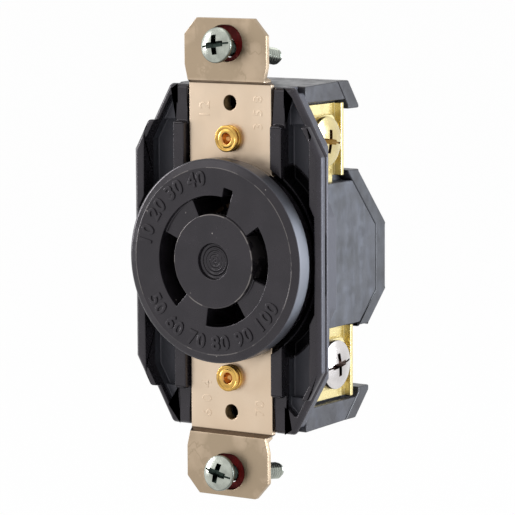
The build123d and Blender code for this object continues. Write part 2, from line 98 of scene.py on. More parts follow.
# Screw heads in millimetres, and the radius of the threads in metres
Head = namedtuple("Head", "radius height crown slot_width cross_span cross_width")
BOX_HEAD = Head(3.45, 1.6, 0.95, 0.42, 4.9, 1.3)
TERMINAL_HEAD = Head(4.83, 2.2, 0.75, 0.42, 5.0, 1.1)
BODY_HEAD = Head(2.8, 1.6, 0.6, 0.55, 2.6, 0.8)
BOX_THREAD_R = 1.7 * MM
TERMINAL_THREAD_R = 2.35 * MM
BODY_THREAD_R = 1.45 * MM

# Edges that turn by more than this many degrees are rounded, or stay sharp in the shading
SOLID_SHARP = 28.0
FACE_SHARP = 15.0
SCREW_SHARP = 32.0
RIDGE_SHARP = 40.0
RIVET_SHARP = 50.0


# Properties


def length_property(name, description, default, least=0.0):
    """A length that the user may change."""
    return bpy.props.FloatProperty(
        name=name, description=description, default=default, min=least, unit="LENGTH"
    )


def angle_property(name, description, degrees):
    """An angle that the user may change, with its default in degrees."""
    return bpy.props.FloatProperty(
        name=name, description=description, default=math.radians(degrees), subtype="ANGLE"
    )


def colour_property(name, description, default):
    """A colour that the user may change."""
    return bpy.props.FloatVectorProperty(name=name, description=description, default=default, subtype="COLOR")


class ReceptacleSizes(bpy.types.PropertyGroup):
    plastic_edge: length_property("Plastic edge", "Rounding of the moulded edges", 0.00028)
    sheet_edge: length_property("Sheet edge", "Rounding of the stamped metal's edges", 0.00014)
    hub_r: length_property("Hub radius", "Radius of the round hub inside the slots", 0.00915)
    channel_r: length_property("Slot radius", "Outer radius of the blade slots", 0.0127)
    key_r: length_property("Key radius", "Outer radius of the key beside the top slot", 0.0146)
    bridge_sink: length_property("Bridge depth", "Depth of the two sunk bridges", 0.001)
    recess_r: length_property("Recess radius", "Radius of the round recess in the hub", 0.0035)
    ring_pitch: length_property("Ring pitch", "Distance between the rings in the recess", 0.00074, 0.0001)
    mark_height: length_property("Mark height", "How far the raised numbers stand out", 0.00026)
    thread_pitch: length_property("Thread pitch", "Pitch of the screws' threads", 0.0008, 0.0001)
    thread_depth: length_property("Thread depth", "Depth of the screws' threads", 0.00042)
    top_droop: angle_property("Top screw droop", "How far the upper box screw hangs tail down", 8.9)
    bottom_droop: angle_property("Bottom screw droop", "How far the lower box screw hangs tail down", 7.6)


class ReceptacleColours(bpy.types.PropertyGroup):
    plastic: colour_property("Plastic", "Colour of the moulded plastic", (0.0100, 0.0090, 0.0112))
    plastic_light: colour_property(
        "Plastic, lighter", "Lighter patches of the moulded plastic", (0.0165, 0.0145, 0.0175)
    )
    worn_plastic: colour_property("Plastic, worn", "Dulled plastic of the body's sides", (0.05, 0.052, 0.062))
    strap: colour_property("Strap", "Colour of the strap's plating", (0.70, 0.55, 0.405))
    strap_dark: colour_property("Strap, darker", "Colour of the smudges on the strap", (0.40, 0.31, 0.215))
    brass: colour_property("Brass", "Colour of the terminal brass", (0.80, 0.68, 0.35))
    rivet: colour_property("Rivets", "Colour of the rivets", (0.80, 0.49, 0.13))
    zinc: colour_property("Zinc", "Colour of the box screws and body screws", (0.50, 0.53, 0.47))
    silver: colour_property("Silver", "Colour of the silver terminal screw", (0.72, 0.69, 0.68))
    green: colour_property("Green", "Colour of the ground screw", (0.07, 0.27, 0.13))
    fibre: colour_property("Fibre", "Colour of the fibre washers", (0.17, 0.004, 0.003))
    bronze: colour_property("Bronze", "Colour of the spring contacts", (0.22, 0.14, 0.08))


class StudioSettings(bpy.types.PropertyGroup):
    azimuth: angle_property("Azimuth", "Camera's turn to the right of the front", 33.918)
    elevation: angle_property("Elevation", "Camera's height above the level", 6.918)
    roll: angle_property("Roll", "Camera's turn about its own line of sight", -0.266)
    distance: length_property("Distance", "Camera's distance from its aim", 0.6083, 0.1)
    lens: bpy.props.FloatProperty(
        name="Lens", description="Focal length in millimetres", default=220.92, min=10.0
    )
    aim: bpy.props.FloatVectorProperty(
        name="Aim",
        description="Point that the camera looks at",
        default=(0.006279, 0.0, 0.000561),
        subtype="TRANSLATION",
    )
    ambient: bpy.props.FloatProperty(
        name="Ambient", description="Level of the even light from all around", default=0.5, min=0.0
    )
    floor_drop: length_property("Floor drop", "Depth of the floor below the device's middle", 0.15, 0.05)


# Node helpers


def feed(value, socket):
    """Gives a socket a plain value, or a link from another socket or a Value."""
    if isinstance(value, Value):
        value = value.socket
    if isinstance(value, bpy.types.NodeSocket):
        socket.id_data.links.new(value, socket)
    else:
        socket.default_value = value


def feed_all(node, inputs):
    """Feeds a node's inputs, given by name or place."""
    for label, value in inputs.items():
        feed(value, node.inputs[label])


def add_node(tree, kind, inputs=None, **settings):
    """A new node with its settings and inputs."""
    node = tree.nodes.new(kind)
    for label, value in settings.items():
        setattr(node, label, value)
    feed_all(node, inputs or {})
    return node


def math_node(tree, operation, *values):
    """The result of a Math node, whose inputs are numbers, sockets or Values."""
    return Value(add_node(tree, "ShaderNodeMath", dict(enumerate(values)), operation=operation).outputs[0])


class Value:
    """A number or colour that a node gives; arithmetic on a number adds Math nodes."""

    def __init__(self, socket):
        self.socket = socket

    def combined(self, operation, *values):
        return math_node(self.socket.id_data, operation, *values)

    def __add__(self, other):
        return self.combined("ADD", self, other)

    def __sub__(self, other):
        return self.combined("SUBTRACT", self, other)

    def __rsub__(self, other):
        return self.combined("SUBTRACT", other, self)

    def __mul__(self, other):
        return self.combined("MULTIPLY", self, other)

    def __truediv__(self, other):
        return self.combined("DIVIDE", self, other)

    def __abs__(self):
        return self.combined("ABSOLUTE", self)

    def larger(self, other):
        return self.combined("MAXIMUM", self, other)

    def smaller(self, other):
        return self.combined("MINIMUM", self, other)

    def hypot(self, other):
        """The distance of the point that the two numbers are the coordinates of."""
        squares = [value.combined("POWER", value, 2.0) for value in (self, other)]
        return self.combined("SQRT", squares[0] + squares[1])

    def span(self, low, high, to_low=0.0, to_high=1.0, smooth=True):
        """The number taken from low..high to to_low..to_high, and held there at both ends."""
        inputs = {"Value": self, "From Min": low, "From Max": high, "To Min": to_low, "To Max": to_high}
        settings = {"clamp": True, "interpolation_type": "SMOOTHSTEP" if smooth else "LINEAR"}
        return Value(add_node(self.socket.id_data, "ShaderNodeMapRange", inputs, **settings).outputs[0])

    def fade(self, low, high, top=1.0):
        """A mask that is at its top up to low and gone from high on."""
        return self.span(low, high, top, 0.0)


def position_parts(tree, place):
    """The three parts of a vector."""
    parts = add_node(tree, "ShaderNodeSeparateXYZ", {0: place}).outputs
    return Value(parts["X"]), Value(parts["Y"]), Value(parts["Z"])


# Shader groups


def object_place(tree):
    """The object's own coordinates."""
    return add_node(tree, "ShaderNodeTexCoord").outputs["Object"]


def new_group(name, output, inputs):
    """A shader node group with one float output and named inputs, each (name, kind, default)."""
    group = bpy.data.node_groups.new(name, "ShaderNodeTree")
    for label, kind, default in inputs:
        socket = group.interface.new_socket(label, in_out="INPUT", socket_type="NodeSocket" + kind)
        socket.default_value = default
    group.interface.new_socket(output, in_out="OUTPUT", socket_type="NodeSocketFloat")
    given = group.nodes.new("NodeGroupInput").outputs
    return group, given, group.nodes.new("NodeGroupOutput").inputs[0], object_place(group)


def stretched_noise(tree, place, stretch, scale, detail):
    """Noise at places that are stretched first."""
    spread = add_node(tree, "ShaderNodeVectorMath", {0: place, 1: stretch}, operation="MULTIPLY")
    inputs = {"Vector": spread.outputs[0], "Scale": scale, "Detail": detail}
    return Value(add_node(tree, "ShaderNodeTexNoise", inputs).outputs[0])


def mottling_group():
    """Soft clouds, from 0 to 1."""
    name = "mottling"
    if name in bpy.data.node_groups:
        return bpy.data.node_groups[name]
    group, given, result, place = new_group(
        name,
        "Value",
        (("Scale", "Float", 300.0), ("Stretch", "Vector", (1.0, 1.0, 1.0)), ("Detail", "Float", 3.0)),
    )
    noise = stretched_noise(group, place, given["Stretch"], given["Scale"], given["Detail"])
    feed(noise.span(0.34, 0.66), result)
    return group


def flecks_group():
    """Small scattered spots, such as dust, as a mask."""
    name = "flecks"
    if name in bpy.data.node_groups:
        return bpy.data.node_groups[name]
    inputs = (("Scale", "Float", 500.0), ("Size", "Float", 0.08))
    group, given, result, place = new_group(name, "Mask", inputs)
    cells = add_node(group, "ShaderNodeTexVoronoi", {"Vector": place, "Scale": given["Scale"]})
    thin = add_node(group, "ShaderNodeTexNoise", {"Vector": place, "Scale": 260.0})
    spot = Value(cells.outputs["Distance"]).fade(0.0, given["Size"])
    feed(spot * Value(thin.outputs[0]).span(0.52, 0.62), result)
    return group


def scratches_group():
    """Fine straight scratches along a direction that the stretch gives, as a mask."""
    name = "scratches"
    if name in bpy.data.node_groups:
        return bpy.data.node_groups[name]
    group, given, result, place = new_group(
        name,
        "Mask",
        (
            ("Scale", "Float", 600.0),
            ("Stretch", "Vector", (1.0, 1.0, 0.06)),
            ("Turn", "Vector", (0.0, 0.3, 0.0)),
            ("Threshold", "Float", 0.66),
        ),
    )
    turn = {"Vector": place, "Rotation": given["Turn"]}
    askew = add_node(group, "ShaderNodeVectorRotate", turn, rotation_type="EULER_XYZ").outputs[0]
    noise = stretched_noise(group, askew, given["Stretch"], given["Scale"], 1.0)
    start = Value(given["Threshold"])
    feed(noise.span(start, start + 0.03), result)
    return group


# Materials


def place_group(tree, group, **values):
    """The output of a shader group that has its own values."""
    return Value(add_node(tree, "ShaderNodeGroup", values, node_tree=group).outputs[0])


def clouds(tree, scale, detail, stretch=(1.0, 1.0, 1.0)):
    """The mottling at a scale."""
    return place_group(tree, mottling_group(), Scale=scale, Detail=detail, Stretch=stretch)


def mixed_colour(factor, low, high):
    """A colour that goes from low to high with the factor."""
    low, high = (value if isinstance(value, Value) else (*value[:3], 1.0) for value in (low, high))
    node = add_node(factor.socket.id_data, "ShaderNodeMix", {0: factor, 6: low, 7: high}, data_type="RGBA")
    return Value(node.outputs[2])


def scaled(colour, share):
    """A colour at a share of its brightness."""
    return tuple(channel * share for channel in colour)


def add_bump(shader, height, distance, strength):
    """Feeds a height into the shader's normal."""
    inputs = {"Distance": distance, "Strength": strength, "Height": height}
    feed(add_node(shader.id_data, "ShaderNodeBump", inputs).outputs[0], shader.inputs["Normal"])


def blank_material(name):
    """A new node material with a Principled shader."""
    material = bpy.data.materials.new(name)
    material.use_nodes = True
    tree = material.node_tree
    return material, tree, tree.nodes["Principled BSDF"]


def fed_value(shader, label):
    """What feeds an input of the shader so far."""
    return Value(shader.inputs[label].links[0].from_socket)


def plastic_shader(name, low, high, rough_low, rough_high):
    """Moulded plastic from one colour to another: a little cloudy, with specks of dust."""
    material, tree, shader = blank_material(name)
    base = mixed_colour(clouds(tree, 170.0, 4.0), low, high)
    dust = place_group(tree, flecks_group(), Scale=620.0, Size=0.09)
    patches = clouds(tree, 420.0, 3.0)
    inputs = {
        "Base Color": mixed_colour(dust * 0.3, base, DUST),
        "Roughness": patches.span(0.0, 1.0, rough_low, rough_high, smooth=False),
        "IOR": 1.5,
    }
    feed_all(shader, inputs)
    add_bump(shader, clouds(tree, 2600.0, 2.0) * 0.12 + clouds(tree, 240.0, 1.0), 0.00003, 0.5)
    return material, tree, shader


def face_plastic():
    """Near-black plastic of the face, semi-gloss, with a painted highlight on its barrel, painted highlight
    lines along the hub and the bead, and pale flecks.
    """
    name = "face_plastic"
    if name in bpy.data.materials:
        return bpy.data.materials[name]
    colours = bpy.context.scene.receptacle_colours
    material, tree, shader = plastic_shader(name, colours.plastic, colours.plastic_light, 0.13, 0.24)
    across, _, height = position_parts(tree, object_place(tree))
    radius = across.hypot(height)
    barrel = radius.span(BARREL_R, BARREL_R + 0.2 * MM)
    # Painted highlight on the barrel, strongest at middle heights
    middle = abs(height).span(0.0065, 0.0125, 1.0, 0.3)
    # Painted highlight lines along the hub's edge and along the bead, broken up by noise
    hub = abs(radius - HUB_HIGHLIGHT_R).fade(0.00005, 0.00014)
    bead_highlight = abs(radius - BEAD_R).fade(0.00003, 0.00012, 0.7)
    highlight_breakup = clouds(tree, 230.0, 3.0).span(0.38, 0.62, 0.15, 1.0)
    flecks = place_group(tree, flecks_group(), Scale=420.0, Size=0.085)
    # The flecks and the painted highlight lines share one pale colour
    flecks = flecks.larger(hub.larger(bead_highlight) * highlight_breakup * 0.35)
    flecked = mixed_colour(flecks, fed_value(shader, "Base Color"), FACE_FLECKS_AND_HIGHLIGHTS)
    lightened = mixed_colour(middle, colours.plastic_light, BARREL_HIGHLIGHT)
    inputs = {
        "Base Color": mixed_colour(barrel, flecked, lightened),
        "Roughness": fed_value(shader, "Roughness") + barrel * 0.2,
        "Specular Tint": GLOSS_TINT,
    }
    feed_all(shader, inputs)
    return material


def front_plastic():
    """Plastic of the front housing: glossy, with painted shade in the moat round the face, worn on its outer
    sides.
    """
    name = "front_plastic"
    if name in bpy.data.materials:
        return bpy.data.materials[name]
    colours = bpy.context.scene.receptacle_colours
    material, tree, shader = plastic_shader(name, colours.plastic, colours.plastic_light, 0.22, 0.32)
    across, depth, height = position_parts(tree, object_place(tree))
    radius = across.hypot(height)
    # Painted shade in the moat round the face: a near-black colour and weaker reflections
    deep = depth.span(-0.0010, 0.0004) * depth.fade(MOAT_FLOOR, MOAT_FLOOR + 0.2 * MM)
    side = abs(across).span(SIDE_X, SIDE_X + 0.15 * MM)
    moat = radius.fade(MOAT_R, MOAT_R + 0.3 * MM) * deep * (1.0 - side)
    drum = radius.span(DRUM_R, DRUM_R + 0.2 * MM) * depth.span(0.0013, 0.0015)
    side = side.larger(drum)
    lightened = mixed_colour(side, fed_value(shader, "Base Color"), colours.worn_plastic)
    inputs = {
        "Base Color": mixed_colour(moat, lightened, MOAT_SHADE),
        "Roughness": fed_value(shader, "Roughness") + side * 0.18,
        "Specular IOR Level": moat.span(0.0, 1.0, 0.5, 0.08, smooth=False),
        "Specular Tint": GLOSS_TINT,
    }
    feed_all(shader, inputs)
    return material


def body_plastic(name, share):
    """Dulled plastic of the terminal housing and the cover, at a share of its colour, with faint streaks."""
    if name in bpy.data.materials:
        return bpy.data.materials[name]
    colours = bpy.context.scene.receptacle_colours
    high = scaled(colours.worn_plastic, share)
    material, tree, shader = plastic_shader(name, scaled(high, 0.65), high, 0.30, 0.42)
    _, _, height = position_parts(tree, object_place(tree))
    ends = abs(height).span(0.0270, 0.0300, 1.0, 0.45)
    light = clouds(tree, 520.0, 5.0, (1.0, 1.0, 0.22)) * clouds(tree, 330.0, 5.0) * ends
    plain = mixed_colour(ends, colours.plastic_light, fed_value(shader, "Base Color"))
    streaked = mixed_colour(light * 0.42, plain, scaled(BODY_STREAKS, share))
    feed(streaked, shader.inputs["Base Color"])
    return material


def strap_plating():
    """Nickel-plated strip: warm, brushed along its length, stained on the ears."""
    name = "strap_plating_worn"
    if name in bpy.data.materials:
        return bpy.data.materials[name]
    colours = bpy.context.scene.receptacle_colours
    material, tree, shader = blank_material(name)
    across, depth, height = position_parts(tree, object_place(tree))
    beside, out = abs(across), abs(height)
    ears = out.span(0.0335, 0.0350)
    smudges = clouds(tree, 115.0, 5.0)
    outlines = abs(clouds(tree, 150.0, 4.0) - 0.5).fade(0.0, 0.10, 0.30)
    # The least distance to the ear's side, to its end and to its slanted corner
    slant_x, slant_z, slant_reach = 0.741, 0.671, 0.03610
    edge = (EAR_X - beside).smaller(EAR_Z - out)
    edge = edge.smaller(slant_reach - (beside * slant_x + out * slant_z))
    stains_and_bend_shade = (smudges * 0.75 + 0.62 + outlines).larger(edge.fade(0.0001, 0.0005, 0.8)) * ears
    bend = abs(out - BEND_Z).fade(0.0002, 0.0004)
    # The bends also take the darker stain colour, as painted shade along each bend
    stains_and_bend_shade = stains_and_bend_shade.larger(bend).larger(smudges * 0.12)
    base = mixed_colour(stains_and_bend_shade, colours.strap, colours.strap_dark)
    sheen = clouds(tree, 70.0, 2.0) * (1.0 - ears)
    base = mixed_colour(sheen * 0.4, base, STRAP_SHEEN)
    # The walls of the ears' slots lie in shadow, and so do the bends
    slot_half_z, slot_half_x, ear_front = 0.0039, 0.0070, -0.00152
    wall = abs(out - BOX_SCREW_Z).fade(slot_half_z, slot_half_z + 0.1 * MM)
    wall = wall * beside.fade(slot_half_x, slot_half_x + 0.2 * MM)
    wall = wall * depth.span(ear_front, ear_front + 0.1 * MM)
    base = mixed_colour(wall, base, SLOT_SHADOW)
    base = mixed_colour(bend * 0.85, base, BEND_SHADOW)
    # What reaches wider than the ears lies in the dark behind the face
    behind = beside.span(0.0098, 0.0101)
    inputs = {
        "Base Color": mixed_colour(behind, base, DARK_BEHIND),
        "Metallic": 1.0,
        "Roughness": clouds(tree, 300.0, 4.0).span(0.0, 1.0, 0.32, 0.42, smooth=False),
    }
    feed_all(shader, inputs)
    brushed = clouds(tree, 2400.0, 2.0, (1.0, 1.0, 0.05))
    add_bump(shader, brushed * 0.4 + clouds(tree, 260.0, 2.0), 0.00002, 0.4)
    return material


def plain_metal(name, colour, rough_low, rough_high, stain=0.72, grime=SHADE_COLOUR):
    """A plated or bare metal with faint scratches and duller patches, with painted shade where a mesh
    attribute marks it.
    """
    if name in bpy.data.materials:
        return bpy.data.materials[name]
    material, tree, shader = blank_material(name)
    patches = clouds(tree, 520.0, 4.0)
    base = mixed_colour(patches, colour, scaled(colour, stain))
    # Painted shade where the screws' meshes mark recesses, thread valleys and the shank under the head
    shade_mask = Value(add_node(tree, "ShaderNodeAttribute", attribute_name="grime").outputs["Fac"])
    inputs = {
        "Base Color": mixed_colour(shade_mask, base, grime),
        "Metallic": 1.0,
        "Roughness": patches.span(0.0, 1.0, rough_low, rough_high, smooth=False),
    }
    feed_all(shader, inputs)
    values = {"Scale": 900.0, "Stretch": (1.0, 1.0, 0.08), "Turn": (0.6, 0.8, 0.0), "Threshold": 0.68}
    marks = place_group(tree, scratches_group(), **values)
    add_bump(shader, clouds(tree, 1800.0, 2.0) * 0.4 - marks, 0.00001, 0.25)
    return material


def screw_zinc():
    """Zinc plating of the box screws and body screws."""
    zinc = bpy.context.scene.receptacle_colours.zinc
    return plain_metal("zinc_plate", zinc, 0.20, 0.34, 0.72, (0.030, 0.042, 0.036))


def rivet_brass():
    """Golden turned brass with a coppery bore and a darker groove."""
    name = "rivet_brass_turned"
    if name in bpy.data.materials:
        return bpy.data.materials[name]
    material = plain_metal(name, bpy.context.scene.receptacle_colours.rivet, 0.14, 0.28, 0.62)
    tree = material.node_tree
    shader = tree.nodes["Principled BSDF"]
    across, _, height = position_parts(tree, object_place(tree))
    radius = across.hypot(abs(height) - RIVET_Z)
    groove = abs(radius - 0.00205).fade(0.00003, 0.00014, 0.55)
    ringed = mixed_colour(groove, fed_value(shader, "Base Color"), RIVET_GROOVE)
    bored = mixed_colour(radius.fade(0.00100, 0.00140), ringed, RIVET_BORE)
    feed(bored, shader.inputs["Base Color"])
    return material


def red_fibre():
    """Vulcanised fibre: deep red, dull, with short fibres."""
    name = "red_fibre_dull"
    if name in bpy.data.materials:
        return bpy.data.materials[name]
    colour = bpy.context.scene.receptacle_colours.fibre
    material, tree, shader = blank_material(name)
    fibres = clouds(tree, 1400.0, 3.0, (1.0, 1.0, 0.3))
    inputs = {
        "Base Color": mixed_colour(fibres, colour, scaled(colour, 0.6)),
        "Roughness": fibres.span(0.0, 1.0, 0.5, 0.65, smooth=False),
        "Specular IOR Level": 0.2,
    }
    feed_all(shader, inputs)
    add_bump(shader, fibres, 0.00003, 0.5)
    return material


# Mesh helpers


def bare_object(name, data):
    """Links a mesh, curve, lamp or camera to the scene as a new object at the origin."""
    piece = bpy.data.objects.new(name, data)
    bpy.context.scene.collection.objects.link(piece)
    return piece


def mesh_from(bm, name):
    """Turns a bmesh into a smooth-shaded mesh."""
    bmesh.ops.recalc_face_normals(bm, faces=bm.faces)
    mesh = bpy.data.meshes.new(name)
    bm.to_mesh(mesh)
    bm.free()
    mesh.shade_smooth()
    return mesh


def frozen(carrier):
    """The mesh that an object is once its modifiers are worked out."""
    bpy.context.view_layer.update()
    depsgraph = bpy.context.evaluated_depsgraph_get()
    return bpy.data.meshes.new_from_object(carrier.evaluated_get(depsgraph), depsgraph=depsgraph)


def stay_sharp(mesh, degrees):
    """Shades a mesh smooth, but for its sharp edges."""
    mesh.shade_smooth()
    mesh.set_sharp_from_angle(angle=math.radians(degrees))


def hand_over(piece, material, slot, *nodes):
    """Gives a finished piece its material and hands it to the frame in place of its nodes."""
    piece.data.materials.clear()
    piece.data.materials.append(material)
    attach(piece, "root")
    if nodes:
        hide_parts(*nodes)


def mark_hard_edges(bm, least, keep=None):
    """Marks the edges that turn by more than the given degrees, for the rounding."""
    layer = bm.edges.layers.float.new("bevel_weight_edge")
    for edge in bm.edges:
        if not edge.is_manifold or edge.calc_face_angle() < math.radians(least):
            continue
        if keep is None or keep(edge):
            edge[layer] = 1.0


def round_edges(piece, width, segments):
    """Rounds the marked edges and keeps the large faces flat."""
    bevel = piece.modifiers.new("rounded edges", "BEVEL")
    bevel.limit_method = "WEIGHT"
    bevel.width = width
    bevel.segments = segments
    bevel.use_clamp_overlap = False
    bevel.harden_normals = False
    weighted = piece.modifiers.new("flat faces", "WEIGHTED_NORMAL")
    weighted.keep_sharp = True


def rounded_solid(node, width, material, slot):
    """A merged copy of a CAD node with its edges rounded, in place of the node."""
    bm = bmesh.new()
    bm.from_mesh(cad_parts[node].data)
    bmesh.ops.remove_doubles(bm, verts=bm.verts, dist=2e-6)
    bmesh.ops.dissolve_limit(bm, angle_limit=math.radians(0.6), verts=bm.verts, edges=bm.edges)
    mark_hard_edges(bm, SOLID_SHARP)
    piece = bare_object(node + "_dressed", mesh_from(bm, node + "_dressed"))
    round_edges(piece, width, 2)
    hand_over(piece, material, slot, node)


def turned(name, profile, segments=64):
    """A solid turned about the Y axis from a closed profile of (radius, y) in millimetres."""
    bm = bmesh.new()
    angles = [2 * math.pi * step / segments for step in range(segments)]
    rings = []
    for radius, y in profile:
        # A radius of 0 is one point on the axis
        turns = angles if radius else [0.0]
        reach = radius * MM
        spots = [(reach * math.cos(turn), y * MM, reach * math.sin(turn)) for turn in turns]
        rings.append([bm.verts.new(spot) for spot in spots])
    pairs = list(zip(rings, rings[1:]))
    if len(rings[0]) > 1 and len(rings[-1]) > 1:
        pairs.append((rings[-1], rings[0]))
    for one, two in pairs:
        for step in range(segments):
            ahead = (step + 1) % segments
            near = [one[step % len(one)], one[ahead % len(one)]]
            far = [two[ahead % len(two)], two[step % len(two)]]
            corners = list(dict.fromkeys(near + far))
            if len(corners) > 2:
                bm.faces.new(corners)
    return mesh_from(bm, name)


def turned_piece(name, profile, sharp, z, material, slot, *nodes, segments=64):
    """A turned piece at a height, handed over."""
    mesh = turned(name, profile, segments)
    stay_sharp(mesh, sharp)
    mesh.transform(Matrix.Translation((0.0, 0.0, z)))
    hand_over(bare_object(name, mesh), material, slot, *nodes)


def tapered_bar(name, top, bottom, depth):
    """A bar that narrows with depth and starts 1 mm above y = 0; top and bottom are (length, width)."""
    bm = bmesh.new()
    corners = []
    for (length, width), y in ((top, -1.0), (bottom, depth)):
        for x, z in ((-1, -1), (1, -1), (1, 1), (-1, 1)):
            corners.append(bm.verts.new((x * length / 2 * MM, y * MM, z * width / 2 * MM)))
    bm.faces.new(corners[:4])
    bm.faces.new(corners[4:])
    for step in range(4):
        ahead = (step + 1) % 4
        bm.faces.new((corners[step], corners[ahead], corners[4 + ahead], corners[4 + step]))
    return mesh_from(bm, name)


def carved(name, body, cutters):
    """The body mesh with the cutter meshes taken away, as a plain mesh."""
    carrier = bare_object(name, body)
    tools = [bare_object(name + "_cutter", cutter) for cutter in cutters]
    for tool in tools:
        cut = carrier.modifiers.new("cut", "BOOLEAN")
        cut.operation = "DIFFERENCE"
        cut.solver = "EXACT"
        cut.object = tool
    result = frozen(carrier)
    for item in (carrier, *tools):
        bpy.data.objects.remove(item)
    result.name = name
    return result


def grown(name, tree, seed_mesh, values):
    """Runs a geometry node tree on a mesh and gives the result as a plain mesh."""
    carrier = bare_object(name, seed_mesh)
    modifier = carrier.modifiers.new("grow", "NODES")
    modifier.node_group = tree
    for item in tree.interface.items_tree:
        if item.item_type == "SOCKET" and item.in_out == "INPUT" and item.name in values:
            modifier[item.identifier] = values[item.name]
    result = frozen(carrier)
    carrier.modifiers.remove(modifier)
    bpy.data.objects.remove(carrier)
    result.name = name
    return result


# Geometry node trees


def new_tree(name, inputs):
    """A geometry node tree that takes one geometry, the named inputs and a material."""
    tree = bpy.data.node_groups.new(name, "GeometryNodeTree")
    sockets = tree.interface
    sockets.new_socket("Geometry", in_out="INPUT", socket_type="NodeSocketGeometry")
    for label, kind, default in inputs:
        socket = sockets.new_socket(label, in_out="INPUT", socket_type="NodeSocket" + kind)
        socket.default_value = default
    sockets.new_socket("Material", in_out="INPUT", socket_type="NodeSocketMaterial")
    sockets.new_socket("Geometry", in_out="OUTPUT", socket_type="NodeSocketGeometry")
    parts = position_parts(tree, add_node(tree, "GeometryNodeInputPosition").outputs[0])
    return tree, tree.nodes.new("NodeGroupInput").outputs, parts


def end_tree(tree, given, instances):
    """Ends a tree with real geometry that has its material."""
    real = add_node(tree, "GeometryNodeRealizeInstances", {"Geometry": instances})
    inputs = {"Geometry": real.outputs[0], "Material": given["Material"]}
    paint = add_node(tree, "GeometryNodeSetMaterial", inputs)
    feed(paint.outputs[0], tree.nodes.new("NodeGroupOutput").inputs[0])
    return tree


def screw_tree():
    """Adds a threaded shank under a head and repeats the screw along a line."""
    name = "threaded_screws"
    if name in bpy.data.node_groups:
        return bpy.data.node_groups[name]
    tree, given, (x, y, z) = new_tree(
        name,
        (
            ("Thread Radius", "Float", 0.00175),
            ("Thread Depth", "Float", 0.00036),
            ("Pitch", "Float", 0.0008),
            ("Shank Length", "Float", 0.02),
            ("Rows", "Int", 120),
            ("Count", "Int", 1),
            ("Start", "Vector", (0.0, 0.0, 0.0)),
            ("Spacing", "Vector", (0.0, 0.0, 0.0)),
            ("Turn", "Vector", (0.0, 0.0, 0.0)),
        ),
    )
    inputs = {
        "Vertices": 28,
        "Side Segments": given["Rows"],
        "Radius": given["Thread Radius"],
        "Depth": given["Shank Length"],
    }
    shank = add_node(tree, "GeometryNodeMeshCylinder", inputs)
    half = Value(given["Shank Length"]) / 2.0
    # One thread, cut inward where the valley is, and a tip that narrows over its last 0.8 mm
    turn = math_node(tree, "ARCTAN2", y, x) / (2 * math.pi)
    phase = math_node(tree, "FRACT", z / given["Pitch"] - turn)
    valley = abs(phase * 2.0 - 1.0)
    tip = (z - half + 0.0008).larger(0.0)
    inward = (valley * given["Thread Depth"] + tip * 0.7) * -1.0
    flat = add_node(tree, "ShaderNodeCombineXYZ", {"X": x, "Y": y}).outputs[0]
    outward = add_node(tree, "ShaderNodeVectorMath", {0: flat}, operation="NORMALIZE").outputs[0]
    push = add_node(tree, "ShaderNodeVectorMath", operation="SCALE")
    feed_all(push, {0: outward, "Scale": inward})
    inputs = {"Geometry": shank.outputs["Mesh"], "Offset": push.outputs[0]}
    threaded = add_node(tree, "GeometryNodeSetPosition", inputs)
    # Painted shade in the valleys of the thread and on the first 5 mm under the head
    under = (5.0 - (z + half) / MM).larger(0.0).smaller(0.95)
    shade_marked = add_node(tree, "GeometryNodeStoreNamedAttribute", data_type="FLOAT", domain="CORNER")
    feed_all(shade_marked, {"Geometry": threaded.outputs[0], "Name": "grime", "Value": under.larger(valley * 0.75)})
    below = add_node(tree, "ShaderNodeCombineXYZ", {"Y": half}).outputs[0]
    inputs = {"Geometry": shade_marked.outputs[0], "Translation": below, "Rotation": (-math.pi / 2, 0.0, 0.0)}
    laid = add_node(tree, "GeometryNodeTransform", inputs)
    whole = add_node(tree, "GeometryNodeJoinGeometry", {0: laid.outputs[0]})
    feed(given["Geometry"], whole.inputs[0])
    inputs = {"Count": given["Count"], "Start Location": given["Start"], "Offset": given["Spacing"]}
    line = add_node(tree, "GeometryNodeMeshLine", inputs)
    inputs = {"Points": line.outputs[0], "Instance": whole.outputs[0], "Rotation": given["Turn"]}
    return end_tree(tree, given, add_node(tree, "GeometryNodeInstanceOnPoints", inputs).outputs[0])


def arc_tree():
    """Bends a flat band of numbers round the face and stands it on the face's front."""
    name = "band_on_arc"
    if name in bpy.data.node_groups:
        return bpy.data.node_groups[name]
    tree, given, (x, y, z) = new_tree(
        name,
        (
            ("Radius", "Float", 0.016),
            ("Depth", "Float", -0.006),
            ("Middle Angle", "Float", 0.0),
            ("Way", "Float", 1.0),
        ),
    )
    angle = x / given["Radius"] * given["Way"] + given["Middle Angle"]
    reach = Value(given["Radius"]) - y * given["Way"]
    inputs = {
        "X": math_node(tree, "COSINE", angle) * reach,
        "Y": Value(given["Depth"]) - z,
        "Z": math_node(tree, "SINE", angle) * reach,
    }
    spot = add_node(tree, "ShaderNodeCombineXYZ", inputs).outputs[0]
    inputs = {"Geometry": given["Geometry"], "Position": spot}
    return end_tree(tree, given, add_node(tree, "GeometryNodeSetPosition", inputs).outputs[0])


# The face


def within(angle, span):
    """True if the angle in degrees lies inside the span."""
    return (angle - span[0]) % 360.0 < span[1] - span[0]


